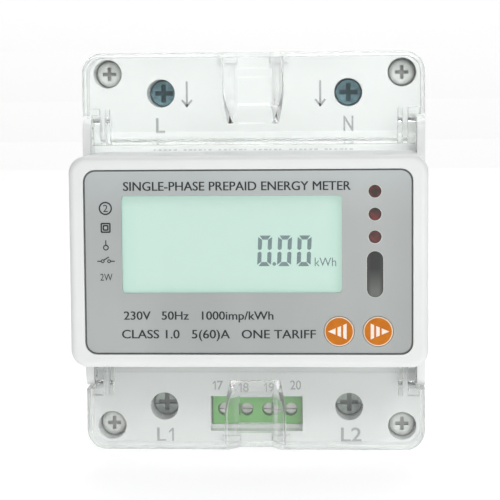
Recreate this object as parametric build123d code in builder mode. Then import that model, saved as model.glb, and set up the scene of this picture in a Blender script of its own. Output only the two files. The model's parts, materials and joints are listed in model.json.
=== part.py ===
"""Single-phase prepaid electricity meter for a 35 mm mounting rail.

Frame: millimetres, +Z up, the front faces -Y, and the origin is the centre of the rail seat.
"Depth" is the distance in front of the rail seat, so a depth of d lies at Y = -d.
"""
from build123d import *
import os

os.makedirs("parts", exist_ok=True)

# ---------------------------------------------------------------- driving dimensions
WIDTH = 76.0  # four 18 mm modules and the end clearance
HEIGHT = 89.0
NOSE_HEIGHT = 45.0  # standard opening of a distribution-board cover
FRONT = 67.5  # depth of the nose's front face
DECK = 39.5  # depth of the two terminal decks
PARTING = 22.0  # depth of the joint between the rear base and the front housing
BACK = -6.5  # depth of the rear face, behind the rail seat
WALL = 2.0
CORNER = 4.5
NOSE_CORNER = 3.6
GAP = 0.1  # play between pieces that only lie beside each other
PIN_PLAY = 0.05  # radial play of everything that turns or slides in a hole

RAIL_HEIGHT = 36.0  # channel for the 35 mm rail
SEAT_HALF = 15.6  # half height of the face that touches the rail
SEAT_RELIEF = 0.4
LIP_EDGE = 15.9  # where the fixed lip and the latch nose stop, from the rail's middle
LIP_FRONT = -1.4  # depth of the lip's front face, just behind a 1 mm rail flange
LIP_BACK = -3.9

TERMINAL_X = 21.0
TERMINAL_Z = 35.5
CASE_SCREW_X = 33.0
CASE_SCREW_Z = 39.9
AUX_PITCH = 5.08
AUX_Z = -36.8

HINGE_DEPTH = 42.9
HINGE_Z = 27.0
COVER_FRONT = 46.0
COVER_START = 30.6  # where the cover's full-width part begins
COVER_SIDE = 1.0  # thickness of the cover's side walls

BUTTON_X = (19.2, 27.4)
BUTTON_Z = -14.7
LED_X = 26.8
LED_Z = (14.9, 10.1, 5.3)
INFRARED_AT = (LED_X, -2.6)
WINDOW_CENTRE = (-3.45, 3.8)
WINDOW_SIZE = (46.6, 20.7)

CAVITY_FLOOR = 2.0
FACE_WALL_BACK = 64.7  # the nose's front wall, behind the face panel
FACE_WALL_FRONT = 66.2
POWER_BOARD = 23.4  # depth of the board's rear face
DISPLAY_BOARD = 57.4
BOARD_THICKNESS = 1.6

ENDS = (1, -1)
SIDES = (-1, 1)
TERMINALS = {
    "live_in": (-TERMINAL_X, TERMINAL_Z),
    "neutral_in": (TERMINAL_X, TERMINAL_Z),
    "output_1": (-TERMINAL_X, -TERMINAL_Z),
    "output_2": (TERMINAL_X, -TERMINAL_Z),
}
CASE_SCREWS = [(side * CASE_SCREW_X, end * CASE_SCREW_Z) for end in ENDS for side in SIDES]
AUX_X = [(index - 1.5) * AUX_PITCH for index in range(4)]


# ---------------------------------------------------------------- shared shapes
def block(width, height, depth_from, depth_to, at=((0, 0),), radius=0, mode=Mode.ADD):
    """Rectangles seen from the front, standing between two depths."""
    with BuildSketch(Plane.XZ.offset(depth_from)) as outline:
        with Locations(*at):
            if radius:
                RectangleRounded(width, height, radius)
            else:
                Rectangle(width, height)
    extrude(outline.sketch, amount=depth_to - depth_from, mode=mode)


def spans(x_from, x_to, z_from, z_to, depth_from, depth_to, mode=Mode.ADD):
    """One box given by its limits."""
    centre = ((x_from + x_to) / 2, (z_from + z_to) / 2)
    block(x_to - x_from, z_to - z_from, depth_from, depth_to, at=(centre,), mode=mode)


def disc(radius, depth_from, depth_to, at=((0, 0),), mode=Mode.ADD):
    """Round posts or holes along the depth."""
    with BuildSketch(Plane.XZ.offset(depth_from)) as outline:
        with Locations(*at):
            Circle(radius)
    extrude(outline.sketch, amount=depth_to - depth_from, mode=mode)


def upright_slot(width, length, depth_from, depth_to, at, mode=Mode.ADD):
    """A slot with round ends, standing on end."""
    with BuildSketch(Plane.XZ.offset(depth_from)) as outline:
        with Locations(at):
            SlotOverall(length, width, rotation=90)
    extrude(outline.sketch, amount=depth_to - depth_from, mode=mode)


def cross_recess(width, length, depth_from, depth_to, at):
    """A cross-shaped driver recess cut into screw heads."""
    block(width, length, depth_from, depth_to, at=at, mode=Mode.SUBTRACT)
    block(length, width, depth_from, depth_to, at=at, mode=Mode.SUBTRACT)


def finish(piece, name):
    """Label a sub-part and write its STEP file."""
    piece.part.label = name
    export_step(piece.part, f"parts/{name}.step")


# ---------------------------------------------------------------- rear base with the rail clip
LATCH_FLANGE_HALF = 8.0  # the latch's T-shaped groove
LATCH_BODY_HALF = 6.0
LATCH_STEP = -3.7
SPRING_TOP = -28.0
SPRING_BOTTOM = -38.0
SPRING_DEPTH = -3.1
CORED_FLOOR = -4.5
CORED_FROM = 20.0
CORE_KEEP_HALF = 11.0  # the floor stays thick over the latch
INNER_END = HEIGHT / 2 - WALL
INNER_SIDE = WIDTH / 2 - WALL
INNER_CORNER = 2.5
BOSS_RADIUS = 3.3
PILOT_RADIUS = 1.45
CAGE_GUIDE_HALF = 5.4  # half the clear width between the ribs of a terminal chamber
RIB = 1.2
CHAMBER_START = 27.0
CROSS_RIB_TOP = 19.4
WIRE_RADIUS = 3.6
WIRE_DEPTH = 16.3
BOARD_POSTS = [(side * 33.9, z) for side in SIDES for z in (23.6, -14.0)]
BOARD_POST_RADIUS = 2.0

with BuildPart() as rear_base:
    block(WIDTH, HEIGHT, BACK, PARTING, radius=CORNER)
    fillet(rear_base.faces().sort_by(Axis.Y)[-1].edges(), 1.2)
    block(2 * INNER_SIDE, 2 * INNER_END, CAVITY_FLOOR, PARTING, radius=INNER_CORNER, mode=Mode.SUBTRACT)
    spans(-INNER_SIDE, INNER_SIDE, CORED_FROM, INNER_END, CORED_FLOOR, CAVITY_FLOOR, Mode.SUBTRACT)
    for side in SIDES:
        pocket = sorted((side * CORE_KEEP_HALF, side * INNER_SIDE))
        spans(*pocket, -INNER_END, -CORED_FROM, CORED_FLOOR, CAVITY_FLOOR, Mode.SUBTRACT)

    # channel for the rail, with its seat proud of the channel floor
    block(WIDTH, RAIL_HEIGHT, BACK, 0, mode=Mode.SUBTRACT)
    for end in ENDS:
        relief = sorted((end * SEAT_HALF, end * RAIL_HEIGHT / 2))
        spans(-WIDTH / 2, WIDTH / 2, *relief, 0, SEAT_RELIEF, Mode.SUBTRACT)
    with BuildSketch(Plane.YZ.offset(-WIDTH / 2)) as fixed_lip:
        with BuildLine():
            Polyline(
                (-LIP_FRONT, RAIL_HEIGHT / 2 + 1),
                (-LIP_FRONT, LIP_EDGE),
                (-LIP_FRONT + 1.0, LIP_EDGE),
                (-LIP_BACK, LIP_EDGE + 1.2),
                (-LIP_BACK, RAIL_HEIGHT / 2 + 1),
                close=True,
            )
        make_face()
    extrude(fixed_lip.sketch, amount=WIDTH)

    # groove and spring post of the sliding latch
    latch_end = -HEIGHT / 2
    flange = (-LATCH_FLANGE_HALF, LATCH_FLANGE_HALF)
    body = (-LATCH_BODY_HALF, LATCH_BODY_HALF)
    spans(*flange, latch_end, -RAIL_HEIGHT / 2, LATCH_STEP, LIP_FRONT, Mode.SUBTRACT)
    spans(*body, latch_end, -RAIL_HEIGHT / 2, BACK, LATCH_STEP, Mode.SUBTRACT)
    spans(-1.4, 1.4, SPRING_BOTTOM - 2, SPRING_BOTTOM, SPRING_DEPTH - 1.5, LIP_FRONT)

    # screw bosses, board posts and terminal chambers
    disc(BOSS_RADIUS, CORED_FLOOR, PARTING, at=CASE_SCREWS)
    disc(PILOT_RADIUS, 4, PARTING, at=CASE_SCREWS, mode=Mode.SUBTRACT)
    disc(BOARD_POST_RADIUS, CAVITY_FLOOR, POWER_BOARD, at=BOARD_POSTS)
    cored_posts = [post for post in BOARD_POSTS if post[1] > CORED_FROM]
    disc(BOARD_POST_RADIUS, CORED_FLOOR, CAVITY_FLOOR, at=cored_posts)
    for x, z in TERMINALS.values():
        end = 1 if z > 0 else -1
        chamber = sorted((end * CHAMBER_START, end * INNER_END))
        for side in SIDES:
            rib = sorted((x + side * CAGE_GUIDE_HALF, x + side * (CAGE_GUIDE_HALF + RIB)))
            spans(*rib, *chamber, CORED_FLOOR, PARTING)
        cross_rib = sorted((end * (CHAMBER_START - RIB), end * CHAMBER_START))
        half_width = CAGE_GUIDE_HALF + RIB
        spans(x - half_width, x + half_width, *cross_rib, CORED_FLOOR, CROSS_RIB_TOP)
        with BuildSketch(Plane.XY.offset(end * HEIGHT / 2)) as wire_entry:
            with Locations((x, -WIRE_DEPTH)):
                Circle(WIRE_RADIUS)
        extrude(wire_entry.sketch, amount=-end * WALL, mode=Mode.SUBTRACT)
finish(rear_base, "rear_base")

# ---------------------------------------------------------------- front housing
CHEEK_INNER = 36.2
CHEEK_RADIUS = 3.0
HINGE_HOLE = 1.25
HINGE_HOLE_END = 37.5
POCKET_SIZE = (69.6, 39.3)
POCKET_CORNER = 2.6
DECK_BACK = DECK - WALL
HEAD_HOLE = 3.15  # screwdriver well over each terminal screw
NECK_HOLE = 2.65
WELL_SHOULDER = 30.4
WELL_BOTTOM = 28.9
SLEEVE_RADIUS = 4.6
COUNTERBORE = 3.2
COUNTERBORE_FLOOR = 34.0
SCREW_CLEARANCE_HOLE = 1.7
AUX_RECESS_X = 10.45
AUX_RECESS_Z = (-41.2, -33.2)
AUX_BLOCK_Z = (-40.1, -33.4)
AUX_FRONT = 36.0
AUX_BACK = POWER_BOARD + BOARD_THICKNESS
AUX_WIRE_DEPTHS = (27.2, 31.6)
AUX_WALL_START = 29.0
BUTTON_HOLE = 3.25
LED_HOLE = 1.6
WINDOW_OPENING = (50.0, 23.6)
INFRARED_OPENING = (3.9, 10.1)
DISPLAY_POST_RADIUS = 1.9
CATCH_X = 6.1  # behind the sides of the finger scoop
CATCH_HALF = 1.5
CATCH_THICKNESS = 1.2
CATCH_HEIGHT = 1.0
CATCH_PLAY = 0.15
DISPLAY_POSTS = [(-33.1, 17.5), (33.1, 17.5), (-33.1, -17.5), (11.0, -17.2)]  # clear of the buttons

with BuildPart() as front_housing:
    block(WIDTH, HEIGHT, PARTING, DECK, radius=CORNER)
    block(WIDTH, NOSE_HEIGHT, DECK, FRONT, radius=NOSE_CORNER)
    fillet(front_housing.faces().sort_by(Axis.Y)[0].edges(), 1.5)

    # hinge cheeks at both ends of both covers
    for side in SIDES:
        for end in ENDS:
            with BuildSketch(Plane.YZ.offset(side * CHEEK_INNER)) as cheek:
                with BuildLine():
                    front = -HINGE_DEPTH - CHEEK_RADIUS
                    foot = 1 - DECK
                    top = end * (HINGE_Z + CHEEK_RADIUS)
                    root = end * (NOSE_HEIGHT / 2 - CORNER)
                    crown = (-HINGE_DEPTH, top)
                    shoulder = (front, end * HINGE_Z)
                    Polyline(crown, (foot, top), (foot, root), (front, root), shoulder)
                    TangentArc(shoulder, crown, tangent=(0, end))
                make_face()
            extrude(cheek.sketch, amount=side * (WIDTH / 2 - CHEEK_INNER))
            with BuildSketch(Plane.YZ.offset(side * CHEEK_INNER)) as hinge_hole:
                with Locations((-HINGE_DEPTH, end * HINGE_Z)):
                    Circle(HINGE_HOLE)
            extrude(hinge_hole.sketch, amount=side * (HINGE_HOLE_END - CHEEK_INNER), mode=Mode.SUBTRACT)

    # hollow body and nose
    block(2 * INNER_SIDE, 2 * INNER_END, PARTING, DECK_BACK, radius=INNER_CORNER, mode=Mode.SUBTRACT)
    block(2 * INNER_SIDE, NOSE_HEIGHT - 2 * WALL, DECK_BACK, FACE_WALL_BACK, radius=1.6, mode=Mode.SUBTRACT)

    # face: pocket for the panel, then the openings behind it
    block(*POCKET_SIZE, FACE_WALL_FRONT, FRONT, radius=POCKET_CORNER, mode=Mode.SUBTRACT)
    block(*WINDOW_OPENING, FACE_WALL_BACK, FACE_WALL_FRONT, at=(WINDOW_CENTRE,), mode=Mode.SUBTRACT)
    disc(LED_HOLE, FACE_WALL_BACK, FACE_WALL_FRONT, at=[(LED_X, z) for z in LED_Z], mode=Mode.SUBTRACT)
    upright_slot(*INFRARED_OPENING, FACE_WALL_BACK, FACE_WALL_FRONT, INFRARED_AT, Mode.SUBTRACT)
    buttons = [(x, BUTTON_Z) for x in BUTTON_X]
    disc(BUTTON_HOLE, FACE_WALL_BACK, FACE_WALL_FRONT, at=buttons, mode=Mode.SUBTRACT)
    disc(DISPLAY_POST_RADIUS, DISPLAY_BOARD + BOARD_THICKNESS, FACE_WALL_BACK, at=DISPLAY_POSTS)

    # screwdriver wells over the terminals and the case screws
    wells = list(TERMINALS.values())
    disc(SLEEVE_RADIUS, WELL_BOTTOM, DECK_BACK, at=wells)
    disc(HEAD_HOLE, WELL_SHOULDER, DECK, at=wells, mode=Mode.SUBTRACT)
    disc(NECK_HOLE, WELL_BOTTOM, WELL_SHOULDER, at=wells, mode=Mode.SUBTRACT)
    disc(COUNTERBORE + 1, COUNTERBORE_FLOOR - 1.5, DECK_BACK, at=CASE_SCREWS)
    disc(BOSS_RADIUS, PARTING, COUNTERBORE_FLOOR - 1.5, at=CASE_SCREWS)
    disc(COUNTERBORE, COUNTERBORE_FLOOR, DECK, at=CASE_SCREWS, mode=Mode.SUBTRACT)
    disc(SCREW_CLEARANCE_HOLE, PARTING, COUNTERBORE_FLOOR, at=CASE_SCREWS, mode=Mode.SUBTRACT)

    # walls of the terminal chambers
    for x, z in TERMINALS.values():
        end = 1 if z > 0 else -1
        chamber = sorted((end * CHAMBER_START, end * INNER_END))
        for side in SIDES:
            rib = sorted((x + side * CAGE_GUIDE_HALF, x + side * (CAGE_GUIDE_HALF + RIB)))
            spans(*rib, *chamber, PARTING, DECK_BACK)
        cross_rib = sorted((end * (CHAMBER_START - RIB), end * CHAMBER_START))
        half_width = CAGE_GUIDE_HALF + RIB
        spans(x - half_width, x + half_width, *cross_rib, AUX_BACK + 1, DECK_BACK)

    # recess of the auxiliary terminal block and its wire slot
    outer_x = AUX_RECESS_X + RIB
    spans(-outer_x, outer_x, -INNER_END - GAP, AUX_RECESS_Z[1] + RIB, AUX_WALL_START, DECK_BACK)
    spans(-AUX_RECESS_X, AUX_RECESS_X, *AUX_RECESS_Z, AUX_FRONT, DECK, Mode.SUBTRACT)
    recess_floor = (AUX_BLOCK_Z[0] - GAP, AUX_RECESS_Z[1])
    spans(-AUX_RECESS_X, AUX_RECESS_X, *recess_floor, AUX_WALL_START, AUX_FRONT, Mode.SUBTRACT)
    slot_half = 9.8
    spans(-slot_half, slot_half, -HEIGHT / 2, AUX_BLOCK_Z[0] - GAP, *AUX_WIRE_DEPTHS, Mode.SUBTRACT)

    # catch posts just inside the end wall of each cover
    catch_end = HEIGHT / 2 - COVER_SIDE - CATCH_PLAY
    for end in ENDS:
        catch = sorted((end * (catch_end - CATCH_THICKNESS), end * catch_end))
        for x in (-CATCH_X, CATCH_X):
            spans(x - CATCH_HALF, x + CATCH_HALF, *catch, DECK_BACK, DECK + CATCH_HEIGHT)
finish(front_housing, "front_housing")

# ---------------------------------------------------------------- hinged terminal covers
COVER_BACK = DECK + GAP
COVER_PLATE = 1.5
BARREL_OUTER = COVER_FRONT - HINGE_DEPTH
BARREL_INNER = BARREL_OUTER - COVER_PLATE
COVER_CENTRE_HALF = 35.95  # passes between the cheeks
PIN_RADIUS = HINGE_HOLE - PIN_PLAY
PIN_END = 37.3
ARM_RADIUS = 2.9
ARM_ROOT = 33.8  # where each arm's web meets the plate
ARM_OUTER_START = 34.2
ARM_INNER = (32.0, 33.0)
GUSSET_X = (34.3, 36.7)
RIDGE_Z = (39.0, 41.0)
SCOOP_FLOOR = 42.0
SCOOP_FLOOR_HALF = 3.5
SCOOP_SKIN = 1.2
SCOOP_HALF = 6.45
SCOOP_TIP_HALF = 4.4
SCOOP_TIP_Z = 28.6
SCOOP_RAMP_Z = 32.9
SCOOP_WIDE_Z = 37.0
SCOOP_CORNER = 1.5
SCOOP_OPEN_Z = HEIGHT / 2 + 1.5


def cover_end(inset, start, depth_from, depth_to, mode=Mode.ADD):
    """The rounded end of the case outline, beyond a height."""
    with BuildSketch(Plane.XZ.offset(depth_from)) as outline:
        RectangleRounded(WIDTH - 2 * inset, HEIGHT - 2 * inset, CORNER - inset)
        with Locations((0, start)):
            Rectangle(WIDTH, HEIGHT, align=(Align.CENTER, Align.MIN), mode=Mode.INTERSECT)
    extrude(outline.sketch, amount=depth_to - depth_from, mode=mode)


def scoop_outline(half_tip, tip_z, half_wide, end_z, depth):
    """The finger scoop's outline at one depth, narrow at the hinge and open at the cover's end."""
    with BuildSketch(Plane.XZ.offset(depth)) as outline:
        with BuildLine():
            right = Line((half_wide, end_z), (half_wide, SCOOP_WIDE_Z))
            ends = ((half_wide, SCOOP_WIDE_Z), (half_tip, tip_z))
            right_curve = Spline(*ends, tangents=((0, -1), (-0.25, -1)))
            Line((half_tip, tip_z), (-half_tip, tip_z))
            mirror([right, right_curve], about=Plane.YZ)
            Line((-half_wide, end_z), (half_wide, end_z))
        make_face()
        fillet(outline.vertices().group_by(Axis.Y)[0], SCOOP_CORNER)
    return outline.sketch


def scoop(skin, end_z):
    """A trough with flared sides and a ramp at its hinge end, grown by a skin thickness."""
    floor_half = SCOOP_FLOOR_HALF + skin
    floor = scoop_outline(floor_half - 0.3, SCOOP_TIP_Z - skin, floor_half, end_z, SCOOP_FLOOR - skin)
    mouth = scoop_outline(SCOOP_TIP_HALF + skin, SCOOP_TIP_Z - skin, SCOOP_HALF + skin, end_z, COVER_FRONT)
    with BuildPart() as trough:
        loft([floor, mouth])
        with BuildSketch(Plane.YZ.offset(-WIDTH / 2)) as side_profile:
            with BuildLine():
                rise = COVER_FRONT + 2 - SCOOP_FLOOR
                Polyline(
                    (-SCOOP_FLOOR, SCOOP_OPEN_Z),
                    (-SCOOP_FLOOR, SCOOP_RAMP_Z),
                    (-SCOOP_FLOOR - rise, SCOOP_RAMP_Z - rise),
                    (-SCOOP_FLOOR - rise, SCOOP_OPEN_Z),
                    close=True,
                )
            make_face()
            fillet(side_profile.vertices().sort_by_distance((-SCOOP_FLOOR, SCOOP_RAMP_Z))[0], 1.5)
            if skin:
                offset(amount=skin, kind=Kind.INTERSECTION)
        extrude(side_profile.sketch, amount=WIDTH, mode=Mode.INTERSECT)
    return trough.part


scoop_shell = scoop(SCOOP_SKIN, HEIGHT / 2 - 0.5)
scoop_hollow = scoop(0, SCOOP_OPEN_Z)

with BuildPart() as top_terminal_cover:
    cover_end(0, COVER_START, COVER_BACK, COVER_FRONT)
    rim = top_terminal_cover.faces().sort_by(Axis.Y)[0].edges().sort_by(Axis.Z)[1:]
    fillet(rim, 1.0)
    cover_end(COVER_SIDE, 0, COVER_BACK, COVER_FRONT - COVER_PLATE, Mode.SUBTRACT)
    half = COVER_CENTRE_HALF
    spans(-half, half, HINGE_Z, COVER_START + 1, COVER_FRONT - COVER_PLATE, COVER_FRONT)

    # quarter barrel that turns beside the nose, and the arms that carry the hinge pins
    with BuildSketch(Plane.YZ.offset(-half)) as barrel:
        with Locations((-HINGE_DEPTH, HINGE_Z)):
            Circle(BARREL_OUTER)
            Circle(BARREL_INNER, mode=Mode.SUBTRACT)
            Rectangle(20, 20, align=(Align.CENTER, Align.MIN), mode=Mode.SUBTRACT)
            Rectangle(20, 20, align=(Align.MIN, Align.CENTER), mode=Mode.SUBTRACT)
    extrude(barrel.sketch, amount=2 * half)
    for x_from, x_to in ((ARM_OUTER_START, half), ARM_INNER):
        for side in SIDES:
            with BuildSketch(Plane.YZ.offset(side * x_from)) as arm:
                with Locations((-HINGE_DEPTH, HINGE_Z)):
                    Circle(ARM_RADIUS)
                with BuildLine():
                    Polyline(
                        (-HINGE_DEPTH, HINGE_Z + ARM_RADIUS),
                        (-COVER_FRONT + 0.5, ARM_ROOT),
                        (-COVER_FRONT + 0.5, HINGE_Z),
                        close=True,
                    )
                make_face()
            extrude(arm.sketch, amount=side * (x_to - x_from))
    for side in SIDES:
        with BuildSketch(Plane.YZ.offset(side * half)) as pin:
            with Locations((-HINGE_DEPTH, HINGE_Z)):
                Circle(PIN_RADIUS)
        extrude(pin.sketch, amount=side * (PIN_END - half))
        gusset = sorted(side * x for x in GUSSET_X)
        spans(*gusset, COVER_START + 0.1, COVER_START + 1.6, COVER_BACK + 3.2, COVER_FRONT - 1)

    # finger scoop with a grip ridge across it
    add(scoop_shell)
    add(scoop_hollow, mode=Mode.SUBTRACT)
    ridge_half = SCOOP_FLOOR_HALF + 0.6
    spans(-ridge_half, ridge_half, *RIDGE_Z, SCOOP_FLOOR - 0.4, SCOOP_FLOOR + 1.0)
finish(top_terminal_cover, "top_terminal_cover")

with BuildPart() as bottom_terminal_cover:
    mirror(top_terminal_cover.part, about=Plane.XY)
finish(bottom_terminal_cover, "bottom_terminal_cover")

# ---------------------------------------------------------------- rail latch and its spring
LATCH_TIP = -15.7
LATCH_END = -44.2
LATCH_PLAY = 0.2
LATCH_NOSE = 2.2
WINDOW_HALF = 1.75

with BuildPart() as din_latch:
    flange_half = LATCH_FLANGE_HALF - LATCH_PLAY
    body_half = LATCH_BODY_HALF - LATCH_PLAY
    length = (LATCH_END, LATCH_TIP)
    spans(-flange_half, flange_half, *length, LATCH_STEP + GAP, LIP_FRONT - GAP)
    spans(-body_half, body_half, *length, BACK + 0.3, LATCH_STEP + GAP)
    spans(-WINDOW_HALF, WINDOW_HALF, SPRING_BOTTOM - 2.1, SPRING_TOP, BACK, LIP_FRONT, Mode.SUBTRACT)
    # the nose slopes so that the rail pushes it aside
    nose_edge = din_latch.edges().filter_by(Axis.X).group_by(Axis.Z)[-1].sort_by(Axis.Y)[-1]
    chamfer(nose_edge, LATCH_NOSE)
    # slot for a screwdriver at the lower end
    spans(-3.0, 3.0, LATCH_END + 1.2, LATCH_END + 2.6, BACK, LATCH_STEP + 0.8, Mode.SUBTRACT)
finish(din_latch, "din_latch")

SPRING_WIRE = 0.25
SPRING_RADIUS = 1.25
SPRING_TURNS = 7

with BuildPart() as latch_spring:
    spring_height = SPRING_TOP - SPRING_BOTTOM - 2 * SPRING_WIRE
    with BuildLine() as coil:
        Helix(
            pitch=spring_height / SPRING_TURNS,
            height=spring_height,
            radius=SPRING_RADIUS,
            center=(0, -SPRING_DEPTH, SPRING_BOTTOM + SPRING_WIRE),
        )
    with BuildSketch(Plane(origin=coil.line @ 0, z_dir=coil.line % 0)) as wire:
        Circle(SPRING_WIRE)
    sweep(wire.sketch, path=coil.line)
finish(latch_spring, "latch_spring")

# ---------------------------------------------------------------- case screws
CASE_HEAD_RADIUS = 2.85
CASE_HEAD_HEIGHT = 2.3
CASE_HEAD_ROUNDING = 1.0
CASE_CROSS = (0.8, 3.0)  # width and length
CASE_CROSS_DEPTH = 1.3
CASE_HEAD_TOP = COUNTERBORE_FLOOR + CASE_HEAD_HEIGHT
CASE_SHANK_END = 6.0

with BuildPart() as case_screws:
    disc(CASE_HEAD_RADIUS, COUNTERBORE_FLOOR, CASE_HEAD_TOP, at=CASE_SCREWS)
    rims = case_screws.edges().filter_by(GeomType.CIRCLE).group_by(Axis.Y)[0]
    fillet(rims, CASE_HEAD_ROUNDING)
    disc(PILOT_RADIUS - PIN_PLAY, CASE_SHANK_END, COUNTERBORE_FLOOR, at=CASE_SCREWS)
    cross_recess(*CASE_CROSS, CASE_HEAD_TOP - CASE_CROSS_DEPTH, CASE_HEAD_TOP, CASE_SCREWS)
finish(case_screws, "case_screws")

# ---------------------------------------------------------------- face: panel, display, lights, buttons
PANEL_BACK = FACE_WALL_FRONT
PANEL_FRONT = 67.2
PANEL_LED_HOLE = 1.35
PANEL_SLOT = (3.45, 9.8)
WINDOW_CORNER = 0.8
WINDOW_FLANGE = (49.6, 23.2)
GUIDE_SIZE = (51.0, 24.0)
GLASS_SIZE = (52.0, 25.0)
GLASS_DEPTHS = (62.1, 64.4)
BOARD_FRONT = DISPLAY_BOARD + BOARD_THICKNESS

with BuildPart() as face_panel:
    panel_size = (POCKET_SIZE[0] - 2 * GAP, POCKET_SIZE[1] - 2 * GAP)
    block(*panel_size, PANEL_BACK, PANEL_FRONT, radius=POCKET_CORNER - GAP)
    cut = dict(radius=WINDOW_CORNER, mode=Mode.SUBTRACT)
    block(*WINDOW_SIZE, PANEL_BACK, PANEL_FRONT, at=(WINDOW_CENTRE,), **cut)
    disc(PANEL_LED_HOLE, PANEL_BACK, PANEL_FRONT, at=[(LED_X, z) for z in LED_Z], mode=Mode.SUBTRACT)
    upright_slot(*PANEL_SLOT, PANEL_BACK, PANEL_FRONT, INFRARED_AT, Mode.SUBTRACT)
    disc(BUTTON_HOLE, PANEL_BACK, PANEL_FRONT, at=buttons, mode=Mode.SUBTRACT)
finish(face_panel, "face_panel")

with BuildPart() as display_window:
    block(*WINDOW_FLANGE, FACE_WALL_BACK + GAP, PANEL_BACK, at=(WINDOW_CENTRE,))
    pane = (WINDOW_SIZE[0] - 2 * GAP, WINDOW_SIZE[1] - 2 * GAP)
    block(*pane, PANEL_BACK, PANEL_FRONT, at=(WINDOW_CENTRE,), radius=WINDOW_CORNER - GAP)
finish(display_window, "display_window")

with BuildPart() as lcd_glass:
    block(*GLASS_SIZE, *GLASS_DEPTHS, at=(WINDOW_CENTRE,))
finish(lcd_glass, "lcd_glass")

with BuildPart() as lcd_backlight:
    block(*GUIDE_SIZE, BOARD_FRONT, GLASS_DEPTHS[0], at=(WINDOW_CENTRE,))
finish(lcd_backlight, "lcd_backlight")

with BuildPart() as lcd_frame:
    outer = (GLASS_SIZE[0] + 3, GLASS_SIZE[1] + 2)
    inner = (GLASS_SIZE[0] + 2 * GAP, GLASS_SIZE[1] + 2 * GAP)
    block(*outer, BOARD_FRONT, FACE_WALL_BACK - GAP, at=(WINDOW_CENTRE,), radius=0.8)
    block(*inner, BOARD_FRONT, FACE_WALL_BACK, at=(WINDOW_CENTRE,), mode=Mode.SUBTRACT)
finish(lcd_frame, "lcd_frame")

SWITCH_TOP = 62.5
PLUNGER_RADIUS = 1.7
BUTTON_TRAVEL = 0.4
BUTTON_FLANGE = (63.3, FACE_WALL_BACK - GAP)
BUTTON_FLANGE_RADIUS = 3.9
BUTTON_FRONT = 67.4
SWITCH_SIDE = 6.0
LED_TOP = 61.0
LED_RADIUS = 1.25
DIODE_RADIUS = 1.5
DIODE_TOP = 62.2
DIODE_OFFSET = 2.2

for name, x in zip(("left", "right"), BUTTON_X):
    with BuildPart() as button:
        disc(BUTTON_FLANGE_RADIUS, *BUTTON_FLANGE, at=((x, BUTTON_Z),))
        disc(BUTTON_HOLE - 2 * PIN_PLAY, BUTTON_FLANGE[1], BUTTON_FRONT, at=((x, BUTTON_Z),))
        fillet(button.faces().sort_by(Axis.Y)[0].edges(), 0.25)
    finish(button, f"{name}_button")
    with BuildPart() as switch_plunger:
        disc(PLUNGER_RADIUS, SWITCH_TOP - BUTTON_TRAVEL, BUTTON_FLANGE[0], at=((x, BUTTON_Z),))
    finish(switch_plunger, f"{name}_switch_plunger")

with BuildPart() as switch_bodies:
    block(SWITCH_SIDE, SWITCH_SIDE, BOARD_FRONT, SWITCH_TOP, at=buttons, radius=0.5)
    plunger_seat = SWITCH_TOP - 2.5 * BUTTON_TRAVEL
    disc(PLUNGER_RADIUS + PIN_PLAY, plunger_seat, SWITCH_TOP, at=buttons, mode=Mode.SUBTRACT)
finish(switch_bodies, "switch_bodies")

leds = [(LED_X, z) for z in LED_Z]

with BuildPart() as led_lenses:
    disc(LED_RADIUS - PIN_PLAY, LED_TOP + 0.3, FACE_WALL_BACK, at=leds)
    disc(LED_HOLE - GAP, FACE_WALL_BACK, FACE_WALL_FRONT, at=leds)
    disc(PANEL_LED_HOLE - PIN_PLAY, FACE_WALL_FRONT, PANEL_FRONT + GAP, at=leds)
finish(led_lenses, "led_lenses")

with BuildPart() as status_leds:
    disc(LED_RADIUS + 0.2, BOARD_FRONT, LED_TOP - 0.9, at=leds)
    disc(LED_RADIUS, LED_TOP - 0.9, LED_TOP, at=leds)
    fillet(status_leds.edges().filter_by(GeomType.CIRCLE).group_by(Axis.Y)[0], 0.7)
finish(status_leds, "status_leds")

with BuildPart() as ir_window:
    flange_slot = (INFRARED_OPENING[0] - 2 * GAP, INFRARED_OPENING[1] - 2 * GAP)
    upright_slot(*flange_slot, FACE_WALL_BACK, FACE_WALL_FRONT, INFRARED_AT)
    upright_slot(PANEL_SLOT[0] - GAP, PANEL_SLOT[1] - GAP, FACE_WALL_FRONT, PANEL_FRONT, INFRARED_AT)
finish(ir_window, "ir_window")

diodes = [(LED_X, INFRARED_AT[1] + end * DIODE_OFFSET) for end in ENDS]

with BuildPart() as ir_diodes:
    disc(DIODE_RADIUS, BOARD_FRONT, DIODE_TOP, at=diodes)
    fillet(ir_diodes.faces().sort_by(Axis.Y)[0:2].edges(), 0.9)
finish(ir_diodes, "ir_diodes")

# ---------------------------------------------------------------- circuit boards and their components
CONNECTOR_AT = (-33.0, 2.0)
PIN_PITCH = 2.54
CONNECTOR_PINS = [(CONNECTOR_AT[0], CONNECTOR_AT[1] + (index - 3.5) * PIN_PITCH) for index in range(8)]
PIN_SIDE = 0.64
PIN_HOLE = 0.8
CONNECTOR_SIZE = (2.5, 21.0)
CONNECTOR_HEIGHT = 8.5
BATTERY_RADIUS = 7.0
NEUTRAL_PIN = (TERMINAL_X, 24.6)

with BuildPart() as display_board:
    block(70.0, 40.0, DISPLAY_BOARD, BOARD_FRONT, radius=1.0)
    block(PIN_HOLE, PIN_HOLE, DISPLAY_BOARD, BOARD_FRONT, at=CONNECTOR_PINS, mode=Mode.SUBTRACT)
finish(display_board, "display_board")

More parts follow.
